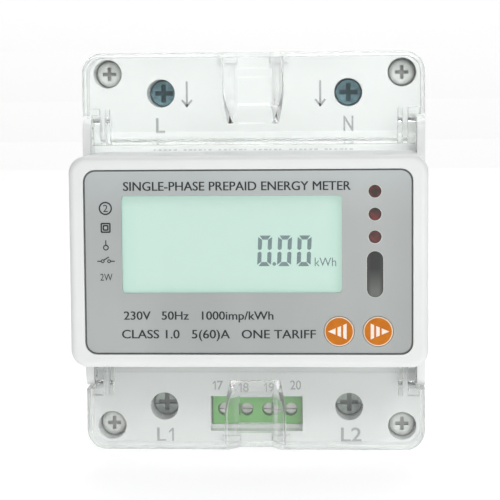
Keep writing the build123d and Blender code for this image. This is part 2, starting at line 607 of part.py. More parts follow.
with BuildPart() as power_board:
    board_top = POWER_BOARD + BOARD_THICKNESS
    spans(-34.5, 34.5, -16.0, 25.6, POWER_BOARD, board_top)
    spans(-13.0, 13.0, -40.4, -16.0, POWER_BOARD, board_top)
    fillet(power_board.edges().filter_by(Axis.Y).group_by(Axis.Z)[-1], 1.0)
    block(PIN_HOLE, PIN_HOLE, POWER_BOARD, board_top, at=CONNECTOR_PINS, mode=Mode.SUBTRACT)
    disc(1.2, POWER_BOARD, board_top, at=(NEUTRAL_PIN,), mode=Mode.SUBTRACT)
    aux_pin_places = [(x, AUX_Z) for x in AUX_X]
    disc(0.6, POWER_BOARD, board_top, at=aux_pin_places, mode=Mode.SUBTRACT)
finish(power_board, "power_board")

with BuildPart() as board_connector:
    block(*CONNECTOR_SIZE, board_top, board_top + CONNECTOR_HEIGHT, at=(CONNECTOR_AT,), radius=0.3)
    block(*CONNECTOR_SIZE, DISPLAY_BOARD - CONNECTOR_HEIGHT, DISPLAY_BOARD, at=(CONNECTOR_AT,), radius=0.3)
    block(PIN_SIDE, PIN_SIDE, POWER_BOARD - 1.0, BOARD_FRONT + 1.2, at=CONNECTOR_PINS)
finish(board_connector, "board_connector")

TRANSFORMER_AT = (-14.0, 8.0)
CORE_SIZE = (24.0, 20.0)
CORE_DEPTHS = (AUX_BACK + 2.0, AUX_BACK + 20.0)
CORE_STACK_HALF = 4.0
LEG = 4.0

with BuildPart() as transformer_core:
    with BuildSketch(Plane.XZ.offset(CORE_DEPTHS[0])) as laminations:
        with Locations(TRANSFORMER_AT):
            Rectangle(CORE_SIZE[0], 2 * CORE_STACK_HALF)
    extrude(laminations.sketch, amount=CORE_DEPTHS[1] - CORE_DEPTHS[0])
    for side in SIDES:
        window = sorted((side * LEG, side * (CORE_SIZE[0] / 2 - LEG)))
        x_from, x_to = (TRANSFORMER_AT[0] + value for value in window)
        z_from = TRANSFORMER_AT[1] - CORE_STACK_HALF
        z_to = TRANSFORMER_AT[1] + CORE_STACK_HALF
        spans(x_from, x_to, z_from, z_to, CORE_DEPTHS[0] + LEG, CORE_DEPTHS[1] - LEG, Mode.SUBTRACT)
finish(transformer_core, "transformer_core")

with BuildPart() as transformer_winding:
    coil_depths = (CORE_DEPTHS[0] + LEG + GAP, CORE_DEPTHS[1] - LEG - GAP)
    block(15.6, 16.0, *coil_depths, at=(TRANSFORMER_AT,), radius=3.0)
    block(2 * LEG + 0.2, 2 * CORE_STACK_HALF + 0.2, *coil_depths, at=(TRANSFORMER_AT,), mode=Mode.SUBTRACT)
    foot = [(TRANSFORMER_AT[0], TRANSFORMER_AT[1] + end * 6.5) for end in ENDS]
    block(16.0, 2.4, AUX_BACK, coil_depths[0], at=foot)
finish(transformer_winding, "transformer_winding")

CAPACITOR_RADIUS = 5.0
CAPACITOR_TOP = AUX_BACK + 17.0
capacitors = [(4.5, 15.2), (4.5, 4.2)]

with BuildPart() as electrolytic_capacitors:
    disc(CAPACITOR_RADIUS, AUX_BACK, CAPACITOR_TOP, at=capacitors)
    fillet(electrolytic_capacitors.faces().sort_by(Axis.Y)[0:2].edges(), 0.6)
    cross_recess(0.5, 6.0, CAPACITOR_TOP - 0.3, CAPACITOR_TOP, capacitors)
finish(electrolytic_capacitors, "electrolytic_capacitors")

with BuildPart() as film_capacitor:
    block(18.0, 7.0, AUX_BACK, AUX_BACK + 13.0, at=((22.0, 15.0),), radius=0.8)
    fillet(film_capacitor.faces().sort_by(Axis.Y)[0].edges(), 0.6)
finish(film_capacitor, "film_capacitor")

VARISTOR_AT = (22.0, 5.0)
VARISTOR_RADIUS = 6.0
VARISTOR_THICKNESS = 4.0
VARISTOR_LEAD_HALF = 2.5

with BuildPart() as surge_varistor:
    with BuildSketch(Plane.XY.offset(VARISTOR_AT[1] - VARISTOR_THICKNESS / 2)) as varistor_disc:
        with Locations((VARISTOR_AT[0], -AUX_BACK - VARISTOR_RADIUS - 2.5)):
            Circle(VARISTOR_RADIUS)
    extrude(varistor_disc.sketch, amount=VARISTOR_THICKNESS)
    fillet(surge_varistor.edges(), 1.2)
    leads = [(VARISTOR_AT[0] + side * VARISTOR_LEAD_HALF, VARISTOR_AT[1]) for side in SIDES]
    disc(0.4, AUX_BACK, AUX_BACK + 4.0, at=leads)
finish(surge_varistor, "surge_varistor")

BATTERY_START = -4.0
BATTERY_LENGTH = 25.0
BATTERY_Z = -8.6

with BuildPart() as backup_battery:
    battery_axis = (-AUX_BACK - BATTERY_RADIUS, BATTERY_Z)
    with BuildSketch(Plane.YZ.offset(BATTERY_START)) as cell:
        with Locations(battery_axis):
            Circle(BATTERY_RADIUS)
    extrude(cell.sketch, amount=BATTERY_LENGTH)
    fillet(backup_battery.edges(), 0.5)
    with BuildSketch(Plane.YZ.offset(BATTERY_START + BATTERY_LENGTH)) as terminal_cap:
        with Locations(battery_axis):
            Circle(2.5)
    extrude(terminal_cap.sketch, amount=1.0)
finish(backup_battery, "backup_battery")

with BuildPart() as integrated_circuits:
    block(10.0, 10.0, DISPLAY_BOARD - 1.6, DISPLAY_BOARD, at=((-8.0, -6.0),), radius=0.3)
    block(5.0, 6.2, DISPLAY_BOARD - 1.6, DISPLAY_BOARD, at=((8.0, -6.0), (18.0, 8.0)), radius=0.2)
    block(7.6, 12.8, AUX_BACK, AUX_BACK + 2.3, at=((-22.0, -8.6),), radius=0.2)
    block(6.4, 9.0, AUX_BACK, AUX_BACK + 3.4, at=((0.0, -26.0),), radius=0.2)
finish(integrated_circuits, "integrated_circuits")

# ---------------------------------------------------------------- current path: busbars, relays, sensors
BAR_DEPTHS = (9.25, 10.75)
TONGUE_DEPTHS = (19.9, 21.4)
TONGUE_HALF = 3.5
TONGUE_END = 39.4
TAB_HALF = 2.5
RELAY_TAB_END = 11.0
RISER_Z = (21.6, 23.1)
SENSOR_Z = (-22.0, -16.5)
SENSOR_DEPTH = (BAR_DEPTHS[0] + BAR_DEPTHS[1]) / 2
SENSOR_RADIUS = SENSOR_DEPTH - CAVITY_FLOOR
SENSOR_HOLE = 4.0
CROSS_BAR_Z = (17.6, RISER_Z[1])


def tongue(x, end, riser):
    """The strip inside a terminal chamber and its riser down to the bars behind the board."""
    strip = sorted((end * riser[0], end * TONGUE_END))
    spans(x - TONGUE_HALF, x + TONGUE_HALF, *strip, *TONGUE_DEPTHS)
    upright = sorted((end * riser[0], end * riser[1]))
    spans(x - TONGUE_HALF, x + TONGUE_HALF, *upright, BAR_DEPTHS[0], TONGUE_DEPTHS[1])


with BuildPart() as live_busbar:
    tongue(-TERMINAL_X, 1, RISER_Z)
    spans(-TERMINAL_X - TONGUE_HALF, TERMINAL_X + TONGUE_HALF, *CROSS_BAR_Z, *BAR_DEPTHS)
    for side in SIDES:
        x = side * TERMINAL_X
        spans(x - TAB_HALF, x + TAB_HALF, RELAY_TAB_END, CROSS_BAR_Z[0], *BAR_DEPTHS)
finish(live_busbar, "live_busbar")

with BuildPart() as neutral_busbar:
    strip = (NEUTRAL_PIN[1] - 1.6, TONGUE_END)
    spans(TERMINAL_X - TONGUE_HALF, TERMINAL_X + TONGUE_HALF, *strip, *TONGUE_DEPTHS)
    disc(1.0, TONGUE_DEPTHS[1], board_top + 1.0, at=(NEUTRAL_PIN,))
finish(neutral_busbar, "neutral_busbar")

for number, side in ((1, -1), (2, 1)):
    x = side * TERMINAL_X
    with BuildPart() as output_busbar:
        output_riser = (23.2, 24.7)
        tongue(x, -1, output_riser)
        spans(x - TAB_HALF, x + TAB_HALF, -output_riser[1], -RELAY_TAB_END, *BAR_DEPTHS)
    finish(output_busbar, f"output_busbar_{number}")

with BuildPart() as current_transformers:
    with BuildSketch(Plane.XY.offset(SENSOR_Z[0])) as toroids:
        with Locations(*[(side * TERMINAL_X, -SENSOR_DEPTH) for side in SIDES]):
            Circle(SENSOR_RADIUS)
            Circle(SENSOR_HOLE, mode=Mode.SUBTRACT)
    extrude(toroids.sketch, amount=SENSOR_Z[1] - SENSOR_Z[0])
    fillet(current_transformers.edges().filter_by(GeomType.CIRCLE), 0.8)
finish(current_transformers, "current_transformers")

RELAY_X = 18.0
RELAY_SIZE = (28.0, 26.0)
RELAY_FRONT = 21.0
RELAY_WALL = 1.0
RELAY_COIL_X = 26.0
RELAY_COIL_DEPTH = 12.0
COIL_HALF = 8.0
COIL_RADIUS = 4.2
BOBBIN_FLANGE = 1.0
BOBBIN_SIZE = (9.6, 12.0)
RELAY_PIVOT_X = 11.0
PIVOT_RADIUS = 1.0
ARMATURE_DEPTHS = (6.0, 13.0)
ARMATURE_SIZE = (6.4, 15.0)
ARMATURE_ARM = (8.6, 2.4)
ARMATURE_ARM_Z = 6.3

for number, side in ((1, -1), (2, 1)):
    with BuildPart() as relay_case:
        centre = ((side * RELAY_X, 0),)
        inner = (RELAY_SIZE[0] - 2 * RELAY_WALL, RELAY_SIZE[1] - 2 * RELAY_WALL)
        floor = CAVITY_FLOOR + RELAY_WALL
        block(*RELAY_SIZE, CAVITY_FLOOR, RELAY_FRONT, at=centre, radius=1.0)
        block(*inner, floor, RELAY_FRONT, at=centre, mode=Mode.SUBTRACT)
        slot_depths = (BAR_DEPTHS[0] - GAP, BAR_DEPTHS[1] + GAP)
        x = side * TERMINAL_X
        slot_half = TAB_HALF + GAP
        spans(x - slot_half, x + slot_half, -RELAY_SIZE[1], RELAY_SIZE[1], *slot_depths, Mode.SUBTRACT)
        disc(PIVOT_RADIUS, floor - 0.5, ARMATURE_DEPTHS[1] + 2, at=((side * RELAY_PIVOT_X, 0),))
    finish(relay_case, f"relay_{number}_case")
    with BuildPart() as relay_armature:
        pivot = ((side * RELAY_PIVOT_X, 0),)
        block(*ARMATURE_SIZE, *ARMATURE_DEPTHS, at=pivot, radius=0.8)
        arm_place = ((side * (RELAY_PIVOT_X - 1.0), ARMATURE_ARM_Z),)
        block(*ARMATURE_ARM, ARMATURE_DEPTHS[0], ARMATURE_DEPTHS[1] - 2, at=arm_place)
        disc(PIVOT_RADIUS + PIN_PLAY, *ARMATURE_DEPTHS, at=pivot, mode=Mode.SUBTRACT)
    finish(relay_armature, f"relay_{number}_armature")

with BuildPart() as relay_coils:
    coil_places = [(side * RELAY_COIL_X, -RELAY_COIL_DEPTH) for side in SIDES]
    with BuildSketch(Plane.XY.offset(-COIL_HALF)) as windings:
        with Locations(*coil_places):
            Circle(COIL_RADIUS)
    extrude(windings.sketch, amount=2 * COIL_HALF)
    for z in (-COIL_HALF - BOBBIN_FLANGE, COIL_HALF):
        with BuildSketch(Plane.XY.offset(z)) as flanges:
            with Locations(*coil_places):
                RectangleRounded(*BOBBIN_SIZE, 1.0)
        extrude(flanges.sketch, amount=BOBBIN_FLANGE)
finish(relay_coils, "relay_coils")

# ---------------------------------------------------------------- mains terminals: screws and rising cages
SCREW_HEAD = (WELL_SHOULDER + GAP, 33.6)
SCREW_HEAD_RADIUS = 2.95
SCREW_SHANK_RADIUS = 2.42
SCREW_CROSS = (0.95, 3.7)  # width and length
SCREW_CROSS_DEPTH = 1.7
SCREW_SLOT_DEPTH = 0.9
CAGE_HOLE = SCREW_SHANK_RADIUS + PIN_PLAY
SCREW_TIP = TONGUE_DEPTHS[1] + 0.3
CAGE_DEPTHS = (11.1, 24.2)
CAGE_WINDOW = (12.7, 21.6)
CAGE_SIZE = (10.4, 8.4)
CAGE_WINDOW_WIDTH = 8.2

for name, place in TERMINALS.items():
    with BuildPart() as terminal_screw:
        disc(SCREW_HEAD_RADIUS, *SCREW_HEAD, at=(place,))
        fillet(terminal_screw.faces().sort_by(Axis.Y)[0].edges(), 0.35)
        disc(SCREW_SHANK_RADIUS, SCREW_TIP, SCREW_HEAD[0], at=(place,))
        cross_recess(*SCREW_CROSS, SCREW_HEAD[1] - SCREW_CROSS_DEPTH, SCREW_HEAD[1], (place,))
        slot = (2 * SCREW_HEAD_RADIUS + 1, SCREW_CROSS[0])
        block(*slot, SCREW_HEAD[1] - SCREW_SLOT_DEPTH, SCREW_HEAD[1], at=(place,), mode=Mode.SUBTRACT)
    finish(terminal_screw, f"{name}_terminal_screw")
    with BuildPart() as clamp_cage:
        block(*CAGE_SIZE, *CAGE_DEPTHS, at=(place,), radius=0.6)
        block(CAGE_WINDOW_WIDTH, CAGE_SIZE[1] + 1, *CAGE_WINDOW, at=(place,), mode=Mode.SUBTRACT)
        disc(CAGE_HOLE, CAGE_WINDOW[1], CAGE_DEPTHS[1], at=(place,), mode=Mode.SUBTRACT)
    finish(clamp_cage, f"{name}_clamp_cage")

# ---------------------------------------------------------------- auxiliary terminal block
AUX_HALF_WIDTH = 10.2
AUX_HEAD = (33.0, 34.4)
AUX_HEAD_RADIUS = 1.4
AUX_HEAD_HOLE = 1.5
AUX_SLOT_WIDTH = 0.5
AUX_SLOT_DEPTH = 0.6
AUX_SHANK_RADIUS = 1.0
AUX_SHANK_TIP = 30.6
AUX_CAGE_SIZE = (3.6, 4.6)
AUX_CAGE_DEPTHS = (25.9, 31.9)
AUX_CAGE_WINDOW = (26.7, 30.5)
AUX_CAGE_OPENING = 2.6
AUX_PIN_RADIUS = 0.5
AUX_CHAMBER_DEPTHS = (25.8, 32.9)
AUX_CHAMBER_HALF = 1.95
AUX_CHAMBER_TOP = -34.2

with BuildPart() as aux_terminal_block:
    spans(-AUX_HALF_WIDTH, AUX_HALF_WIDTH, *AUX_BLOCK_Z, AUX_BACK, AUX_FRONT - GAP)
    for x in AUX_X:
        chamber = (x - AUX_CHAMBER_HALF, x + AUX_CHAMBER_HALF)
        spans(*chamber, AUX_BLOCK_Z[0], AUX_CHAMBER_TOP, *AUX_CHAMBER_DEPTHS, Mode.SUBTRACT)
    aux_places = [(x, AUX_Z) for x in AUX_X]
    disc(AUX_SHANK_RADIUS + PIN_PLAY, AUX_CHAMBER_DEPTHS[1], AUX_HEAD[0], at=aux_places, mode=Mode.SUBTRACT)
    disc(AUX_HEAD_HOLE, AUX_HEAD[0] - PIN_PLAY, AUX_FRONT, at=aux_places, mode=Mode.SUBTRACT)
    disc(AUX_PIN_RADIUS + PIN_PLAY, AUX_BACK, AUX_CHAMBER_DEPTHS[0], at=aux_places, mode=Mode.SUBTRACT)
finish(aux_terminal_block, "aux_terminal_block")

for number, x in enumerate(AUX_X, start=1):
    place = (x, AUX_Z)
    with BuildPart() as aux_screw:
        disc(AUX_HEAD_RADIUS, *AUX_HEAD, at=(place,))
        fillet(aux_screw.faces().sort_by(Axis.Y)[0].edges(), 0.2)
        disc(AUX_SHANK_RADIUS, AUX_SHANK_TIP, AUX_HEAD[0], at=(place,))
        slot = (2 * AUX_HEAD_RADIUS + 1, AUX_SLOT_WIDTH)
        block(*slot, AUX_HEAD[1] - AUX_SLOT_DEPTH, AUX_HEAD[1], at=(place,), mode=Mode.SUBTRACT)
    finish(aux_screw, f"aux_screw_{number}")
    with BuildPart() as aux_cage:
        block(*AUX_CAGE_SIZE, *AUX_CAGE_DEPTHS, at=(place,), radius=0.3)
        block(AUX_CAGE_OPENING, AUX_CAGE_SIZE[1] + 1, *AUX_CAGE_WINDOW, at=(place,), mode=Mode.SUBTRACT)
        thread = (AUX_CAGE_WINDOW[1], AUX_CAGE_DEPTHS[1])
        disc(AUX_SHANK_RADIUS + PIN_PLAY, *thread, at=(place,), mode=Mode.SUBTRACT)
    finish(aux_cage, f"aux_cage_{number}")

with BuildPart() as aux_pins:
    disc(AUX_PIN_RADIUS, POWER_BOARD - 1.0, AUX_CHAMBER_DEPTHS[0], at=aux_places)
finish(aux_pins, "aux_pins")
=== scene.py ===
"""Looks of the single-phase prepaid electricity meter: finishes, printing, display, light and camera.

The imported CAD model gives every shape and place. Lengths below are in metres unless a name says mm.
The front faces -Y, so "depth" is the distance in front of the rail seat, which lies at Y = 0.
"""

import json
import math

import bmesh
import bpy
from mathutils import Matrix, Vector


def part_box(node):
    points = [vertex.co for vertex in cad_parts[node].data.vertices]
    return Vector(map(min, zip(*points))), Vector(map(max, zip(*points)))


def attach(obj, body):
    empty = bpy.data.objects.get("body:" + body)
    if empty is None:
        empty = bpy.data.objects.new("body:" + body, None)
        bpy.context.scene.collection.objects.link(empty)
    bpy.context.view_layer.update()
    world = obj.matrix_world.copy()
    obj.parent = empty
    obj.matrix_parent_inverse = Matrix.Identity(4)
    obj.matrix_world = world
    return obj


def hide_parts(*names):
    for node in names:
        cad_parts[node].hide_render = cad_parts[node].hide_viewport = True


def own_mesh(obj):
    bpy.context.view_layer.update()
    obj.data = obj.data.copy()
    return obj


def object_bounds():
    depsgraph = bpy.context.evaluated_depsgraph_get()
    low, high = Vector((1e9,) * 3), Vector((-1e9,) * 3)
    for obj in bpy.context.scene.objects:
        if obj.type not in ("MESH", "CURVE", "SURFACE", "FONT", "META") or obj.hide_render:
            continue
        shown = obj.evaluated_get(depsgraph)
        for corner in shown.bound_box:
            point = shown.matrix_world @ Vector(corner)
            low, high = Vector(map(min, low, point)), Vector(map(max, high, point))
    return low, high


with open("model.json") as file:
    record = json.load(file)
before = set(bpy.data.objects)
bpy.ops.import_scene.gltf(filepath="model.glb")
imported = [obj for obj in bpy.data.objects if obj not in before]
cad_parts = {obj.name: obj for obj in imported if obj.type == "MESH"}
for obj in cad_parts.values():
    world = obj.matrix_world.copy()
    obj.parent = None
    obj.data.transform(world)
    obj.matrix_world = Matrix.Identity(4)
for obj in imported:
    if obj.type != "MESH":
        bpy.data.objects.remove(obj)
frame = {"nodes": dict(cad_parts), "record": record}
cad_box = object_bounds()
nodes = frame["nodes"]
scene = bpy.context.scene
MM = 0.001
FILM = 0.00003  # thickness of printed ink
SECOND_FILM = 1.4  # height of a second pass of ink, in films
SECOND_SHIFT = 0.09  # mm that the second pass lies to the right
MOULDED_EDGE = 0.00018  # radius of a moulded edge
METAL_EDGE = 0.0001  # radius of a stamped or turned edge


# ---------------------------------------------------------------- places read from the frame
def centre(node):
    """Middle of a CAD node's box."""
    low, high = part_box(node)
    return (low + high) / 2


def front(node):
    """Depth of a CAD node's frontmost face."""
    return -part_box(node)[0].y


PANEL_FRONT = front("face_panel")
GLASS_FRONT = front("lcd_glass")
BUTTON_FRONT = front("left_button")
BUTTON_CENTRES = {side: centre(f"{side}_button") for side in ("left", "right")}
DECK = 0.0395  # depth of the two terminal decks
CASE_SCREW = (0.033, 0.0399)  # x and z of the case screws, which stand at all four corners
FLOOR_GAP = 0.0002  # the floor lies this far under the meter


# ---------------------------------------------------------------- node helpers
class Shader:
    """A material under construction, with short calls for the nodes used here."""

    def __init__(self, name):
        self.material = bpy.data.materials.new(name)
        self.material.use_nodes = True
        self.tree = self.material.node_tree
        self.bsdf = self.tree.nodes["Principled BSDF"]
        self.output = self.tree.nodes["Material Output"]
        self.place = self.node("ShaderNodeTexCoord").outputs["Object"]

    def node(self, kind, inputs=None, **settings):
        made = self.tree.nodes.new(kind)
        for key, value in settings.items():
            setattr(made, key, value)
        for key, value in (inputs or {}).items():
            self.set(made.inputs[key], value)
        return made

    def set(self, socket, value):
        if isinstance(value, bpy.types.NodeSocket):
            self.tree.links.new(value, socket)
        else:
            socket.default_value = value

    def surface(self, **inputs):
        for key, value in inputs.items():
            self.set(self.bsdf.inputs[key.replace("_", " ")], value)

    def noise(self, scale, detail=2.0, roughness=0.5, place=None):
        inputs = {"Vector": place or self.place, "Scale": scale, "Detail": detail, "Roughness": roughness}
        return self.node("ShaderNodeTexNoise", inputs).outputs["Fac"]

    def stretched(self, x, y, z):
        """Object coordinates with each axis scaled, for grain and brushing."""
        inputs = {0: self.place, 1: (x, y, z)}
        return self.node("ShaderNodeVectorMath", inputs, operation="MULTIPLY").outputs[0]

    def ramp(self, factor, low, high, start=0.0, end=1.0):
        made = self.node("ShaderNodeValToRGB", {"Fac": factor})
        stops = made.color_ramp.elements
        stops[0].position, stops[0].color = start, low
        stops[1].position, stops[1].color = end, high
        return made.outputs["Color"]

    def span(self, value, low, high, to_low=0.0, to_high=1.0):
        inputs = {"Value": value, "From Min": low, "From Max": high, "To Min": to_low, "To Max": to_high}
        return self.node("ShaderNodeMapRange", inputs).outputs["Result"]

    def mix(self, factor, first, second):
        made = self.node("ShaderNodeMix", data_type="RGBA")
        colours = [socket for socket in made.inputs if socket.type == "RGBA"]
        self.set(made.inputs["Factor"], factor)
        self.set(colours[0], first)
        self.set(colours[1], second)
        return [socket for socket in made.outputs if socket.type == "RGBA"][0]

    def maths(self, operation, first, second=0.0):
        return self.node("ShaderNodeMath", {0: first, 1: second}, operation=operation).outputs[0]

    def axis(self, letter):
        """One object coordinate as a value."""
        return self.node("ShaderNodeSeparateXYZ", {0: self.place}).outputs[letter]

    def bump(self, height, distance, strength=1.0, normal=None):
        inputs = {"Height": height, "Distance": distance, "Strength": strength}
        if normal is not None:
            inputs["Normal"] = normal
        return self.node("ShaderNodeBump", inputs).outputs["Normal"]

    def soft_edges(self, radius):
        """Normal that rounds sharp edges, as moulding and stamping do."""
        return self.node("ShaderNodeBevel", {"Radius": radius}, samples=4).outputs["Normal"]


def grey(level):
    """Neutral linear colour."""
    return (level, level, level, 1.0)


def rgb(red, green, blue):
    """Linear colour from the 0 to 255 values that a screen shows."""
    def linear(value):
        value /= 255
        return value / 12.92 if value <= 0.04045 else ((value + 0.055) / 1.055) ** 2.4

    return (linear(red), linear(green), linear(blue), 1.0)


def shaded(colour, share):
    """A colour scaled towards black or white, still opaque."""
    return tuple(min(1.0, value * share) for value in colour[:3]) + (1.0,)


# ---------------------------------------------------------------- finishes
def moulded(name, colour, roughness, grain=0.000004, tint=0.03):
    """Injection-moulded plastic: fine spark-eroded grain, faint flow clouding, rounded edges."""
    shader = Shader(name)
    cloud = shader.noise(90, 3)
    shader.surface(
        Base_Color=shader.ramp(cloud, shaded(colour, 1 - tint), colour, 0.35, 0.65),
        Roughness=shader.span(shader.noise(2600, 2), 0.3, 0.7, roughness - 0.05, roughness + 0.06),
        Normal=shader.bump(shader.noise(5200, 2), grain, normal=shader.soft_edges(MOULDED_EDGE)),
        IOR=1.5,
    )
    return shader.material


def clear_plastic(name, colour, roughness=0.015, bump=0.0, milk=0.0):
    """Clear polycarbonate. Light passes through its shadow, and steep walls look a little milky."""
    shader = Shader(name)
    shader.surface(Base_Color=colour, Roughness=roughness, IOR=1.5, Transmission_Weight=1.0)
    if bump:
        shader.surface(Normal=shader.bump(shader.noise(180, 2), bump, normal=shader.soft_edges(0.0003)))
    body = shader.bsdf.outputs[0]
    if milk:
        steep = shader.node("ShaderNodeLayerWeight", {"Blend": 0.5}).outputs["Facing"]
        haze = shader.node("ShaderNodeBsdfDiffuse", {"Color": grey(0.95)})
        share = shader.span(steep, 0.3, 0.95, 0.015, milk)
        hazy = shader.node("ShaderNodeMixShader", {0: share})
        shader.set(hazy.inputs[1], body)
        shader.set(hazy.inputs[2], haze.outputs[0])
        body = hazy.outputs[0]
    path = shader.node("ShaderNodeLightPath")
    clear = shader.node("ShaderNodeBsdfTransparent", {"Color": colour})
    blend = shader.node("ShaderNodeMixShader", {0: path.outputs["Is Shadow Ray"]})
    shader.set(blend.inputs[1], body)
    shader.set(blend.inputs[2], clear.outputs[0])
    shader.set(shader.output.inputs["Surface"], blend.outputs[0])
    return shader.material


def metal(name, colour, roughness, brushing, tint=0.2, metallic=1.0, recess_shade=None):
    """Plated or drawn metal with scratches, uneven plating and, in screws, painted shade in the driver's
    cross slot.
    """
    shader = Shader(name)
    scratches = shader.noise(1.0, 4, 0.6, shader.stretched(*brushing))
    blotches = shader.noise(700, 3)
    base = shader.ramp(blotches, shaded(colour, 1 - tint), colour, 0.35, 0.7)
    if recess_shade:
        # painted shade: the driver's cross slot is darkened in the base colour
        base = shader.mix(cross_slot_painted_shade(shader, *recess_shade), base, shaded(colour, 0.3))
    shader.surface(
        Base_Color=base,
        Metallic=metallic,
        Roughness=shader.span(scratches, 0.3, 0.7, roughness - 0.08, roughness + 0.12),
        Normal=shader.bump(scratches, 0.000006, normal=shader.soft_edges(METAL_EDGE)),
    )
    return shader.material


def cross_slot_painted_shade(shader, x, z, half_width, reach, mirrored=False):
    """Painted shade of the cross-shaped driver slot of the screw at (x, z), or if mirrored, of all at (+-x,
    +-z).
    """
    distances = []
    for letter, middle in (("X", x), ("Z", z)):
        value = shader.axis(letter)
        if mirrored:
            value = shader.maths("ABSOLUTE", value)
        distances.append(shader.maths("ABSOLUTE", shader.maths("SUBTRACT", value, middle)))
    arms = []
    for across, along in (distances, distances[::-1]):
        inside = shader.span(across, half_width * 0.8, half_width * 1.15, 1.0, 0.0)
        arms.append(shader.maths("MULTIPLY", inside, shader.span(along, reach * 0.9, reach, 1.0, 0.0)))
    return shader.maths("MULTIPLY", shader.maths("MAXIMUM", *arms), 0.65 if mirrored else 0.85)


def printed_panel():
    """Satin grey film: a faint silver cloud and a matt grain, with a painted highlight that makes it paler
    along the top and painted shade that makes it greyer at the right.
    """
    shader = Shader("grey_panel")
    cloud = shader.noise(38, 3, 0.55, shader.stretched(1.0, 1.0, 0.55))
    base = shader.ramp(cloud, rgb(170, 175, 174), rgb(181, 185, 184), 0.3, 0.7)
    # painted shade: greyer towards the right edge
    edge_shade = shader.span(shader.axis("X"), 0.027, 0.0346)
    base = shader.mix(shader.maths("MULTIPLY", edge_shade, 0.4), base, rgb(162, 165, 162))
    # painted highlight: paler along the top
    painted_top_highlight = shader.span(shader.axis("Z"), 0.0095, 0.019)
    base = shader.mix(shader.maths("MULTIPLY", painted_top_highlight, 0.45), base, rgb(198, 206, 207))
    shader.surface(
        Base_Color=base,
        Roughness=shader.span(shader.noise(3500, 2), 0.3, 0.7, 0.4, 0.5),
        Normal=shader.bump(shader.noise(6500, 2), 0.000003, normal=shader.soft_edges(0.0001)),
    )
    return shader.material


def display_cell():
    """Pale green lit liquid-crystal cell, a little greener towards its rim."""
    shader = Shader("display_glass")
    middle = centre("lcd_glass")
    offset = shader.node("ShaderNodeVectorMath", {0: shader.place, 1: tuple(middle)}, operation="SUBTRACT")
    parts = shader.node("ShaderNodeSeparateXYZ", {0: offset.outputs[0]})
    across = shader.maths("ABSOLUTE", parts.outputs["X"])
    up = shader.maths("ABSOLUTE", parts.outputs["Z"])
    rim = shader.maths("MAXIMUM", shader.span(across, 0.0195, 0.0232), shader.span(up, 0.0082, 0.0102))
    base = shader.mix(rim, rgb(205, 233, 222), rgb(199, 233, 220))
    weave = shader.noise(1.0, 1, 0.5, shader.stretched(9000, 1, 9000))
    woven = shader.mix(shader.maths("MULTIPLY", weave, 0.05), base, grey(0.9))
    shader.surface(
        Base_Color=shader.mix(0.72, woven, grey(0.0)),
        Roughness=0.3,
        Emission_Color=base,
        Emission_Strength=0.66,
    )
    return shader.material


def button_face(side):
    """Orange moulding with a pale cream band round the finger area."""
    shader = Shader(f"orange_button_{side}")
    middle = BUTTON_CENTRES[side]
    offset = shader.node("ShaderNodeVectorMath", {0: shader.place, 1: tuple(middle)}, operation="SUBTRACT")
    flat = shader.node("ShaderNodeVectorMath", {0: offset.outputs[0], 1: (1, 0, 1)}, operation="MULTIPLY")
    radius = shader.node("ShaderNodeVectorMath", {0: flat.outputs[0]}, operation="LENGTH").outputs["Value"]
    rim = shader.span(radius, 0.00286, 0.00292)
    cloud = shader.noise(420, 3)
    orange = shader.ramp(cloud, rgb(200, 110, 4), rgb(209, 121, 14), 0.35, 0.65)
    shader.surface(
        Base_Color=shader.mix(rim, orange, rgb(248, 226, 202)),
        Roughness=shader.span(shader.noise(3000, 2), 0.3, 0.7, 0.46, 0.58),
        Specular_IOR_Level=0.3,
        Normal=shader.bump(shader.noise(5200, 2), 0.000004, normal=shader.soft_edges(0.0001)),
    )
    return shader.material


def lamp_lens():
    """Dark red lens with painted glints: brighter red bands and blotches in its colour stand for the lamp's
    die glinting unevenly.
    """
    shader = Shader("red_lens")
    # painted glints: stepped bands and blotches of brighter red
    slope = shader.maths("ADD", shader.axis("X"), shader.axis("Z"))
    steps = shader.maths("FRACT", shader.maths("MULTIPLY", slope, 190.0))
    glow = shader.maths("MULTIPLY", shader.noise(560, 1), shader.span(steps, 0.0, 1.0, 0.7, 1.0))
    shader.surface(
        Base_Color=shader.ramp(glow, rgb(52, 34, 31), rgb(118, 38, 32), 0.34, 0.66),
        Roughness=0.18,
        Coat_Weight=0.5,
    )
    return shader.material


def infrared_lens():
    """Smoked lens, lighter where the lower diode shows through it."""
    shader = Shader("infrared_lens")
    low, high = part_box("ir_window")
    height = shader.span(shader.axis("Z"), low.z, high.z)
    glimmer = shader.ramp(height, rgb(102, 106, 101), rgb(42, 44, 43), 0.15, 0.62)
    offset = shader.maths("ABSOLUTE", shader.maths("SUBTRACT", shader.axis("X"), (low.x + high.x) / 2))
    rim = shader.span(offset, 0.0008, 0.0017)
    shader.surface(Base_Color=shader.mix(rim, glimmer, rgb(60, 62, 60)), Roughness=0.22, Coat_Weight=0.3)
    return shader.material


def circuit_board():
    """Green solder mask over faint copper tracks and ground fill."""
    shader = Shader("circuit_board")
    tracks = shader.node("ShaderNodeTexBrick", {
        "Vector": shader.place, "Scale": 260.0, "Mortar Size": 0.02,
        "Color1": grey(0.0), "Color2": grey(0.35), "Mortar": grey(1.0),
    })
    shader.surface(
        Base_Color=shader.mix(tracks.outputs["Fac"], rgb(18, 96, 52), rgb(46, 130, 74)),
        Roughness=0.35,
        Coat_Weight=0.4,
        Normal=shader.bump(tracks.outputs["Fac"], 0.00002),
    )
    return shader.material


